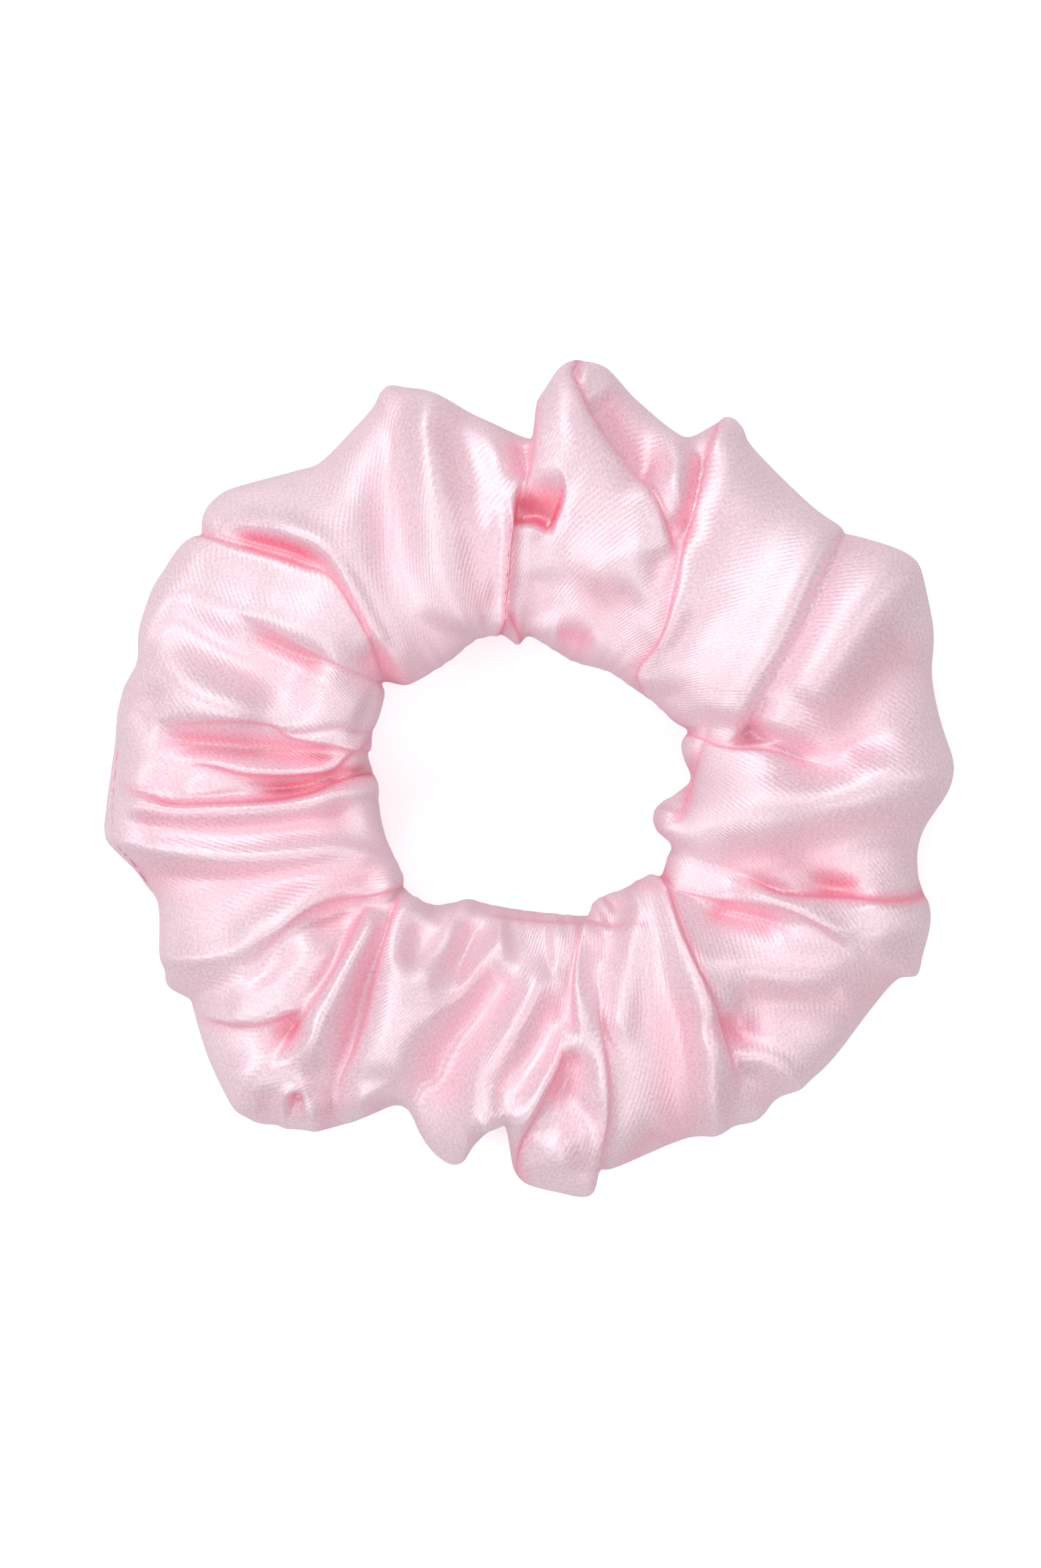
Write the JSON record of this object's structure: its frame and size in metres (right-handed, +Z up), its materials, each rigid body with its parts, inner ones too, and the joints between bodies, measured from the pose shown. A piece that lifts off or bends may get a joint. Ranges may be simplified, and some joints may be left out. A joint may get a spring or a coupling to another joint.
{
  "type": "scrunchie",
  "caption": "Relaxed hair scrunchie: a satin tube gathered into soft folds on a hidden elastic loop, sewn shut at one side, which stretches to go round hair.",
  "frame": {"origin": "centre of the opening, on the plane that the ring rests on", "axes": "+Z up through the opening; the seam that joins the tube's ends is on the -X side; +X is the way the free side is pulled"},
  "size_m": [0.11, 0.1084, 0.026],
  "materials": {
    "satin": "satin",
    "elastic": "matte",
    "thread": "satin"
  },
  "bodies": {
    "seam_side": {"cover_gather_01": "satin", "elastic_band": "elastic", "elastic_join_stitching": "thread", "long_seam_stitching": "thread", "cross_seam_stitching": "thread", "turning_gap_stitching": "thread"},
    "gathers_2_12": {"cover_gather_02": "satin", "cover_gather_12": "satin"},
    "gathers_3_11": {"cover_gather_03": "satin", "cover_gather_11": "satin"},
    "gathers_4_10": {"cover_gather_04": "satin", "cover_gather_10": "satin"},
    "gathers_5_9": {"cover_gather_05": "satin", "cover_gather_09": "satin"},
    "gathers_6_8": {"cover_gather_06": "satin", "cover_gather_08": "satin"},
    "pulled_side": {"cover_gather_07": "satin"}
  },
  "joints": [
    {"name": "stretch", "type": "slide", "parent": "seam_side", "child": "pulled_side", "axis": [1, 0, 0], "range_m": [0, 0.08], "stiffness_N_per_m": 75, "deforming": ["elastic_band", "long_seam_stitching"]},
    {"name": "stretch_2_12", "type": "slide", "parent": "seam_side", "child": "gathers_2_12", "axis": [1, 0, 0], "range_m": [0, 0.0046]},
    {"name": "stretch_3_11", "type": "slide", "parent": "seam_side", "child": "gathers_3_11", "axis": [1, 0, 0], "range_m": [0, 0.0168]},
    {"name": "stretch_4_10", "type": "slide", "parent": "seam_side", "child": "gathers_4_10", "axis": [1, 0, 0], "range_m": [0, 0.0401]},
    {"name": "stretch_5_9", "type": "slide", "parent": "seam_side", "child": "gathers_5_9", "axis": [1, 0, 0], "range_m": [0, 0.0634]},
    {"name": "stretch_6_8", "type": "slide", "parent": "seam_side", "child": "gathers_6_8", "axis": [1, 0, 0], "range_m": [0, 0.0756]}
  ],
  "couplings": [
    {"joint": "stretch_2_12", "follows": "stretch", "ratio": 0.056},
    {"joint": "stretch_3_11", "follows": "stretch", "ratio": 0.209},
    {"joint": "stretch_4_10", "follows": "stretch", "ratio": 0.5},
    {"joint": "stretch_5_9", "follows": "stretch", "ratio": 0.791},
    {"joint": "stretch_6_8", "follows": "stretch", "ratio": 0.944}
  ]
}
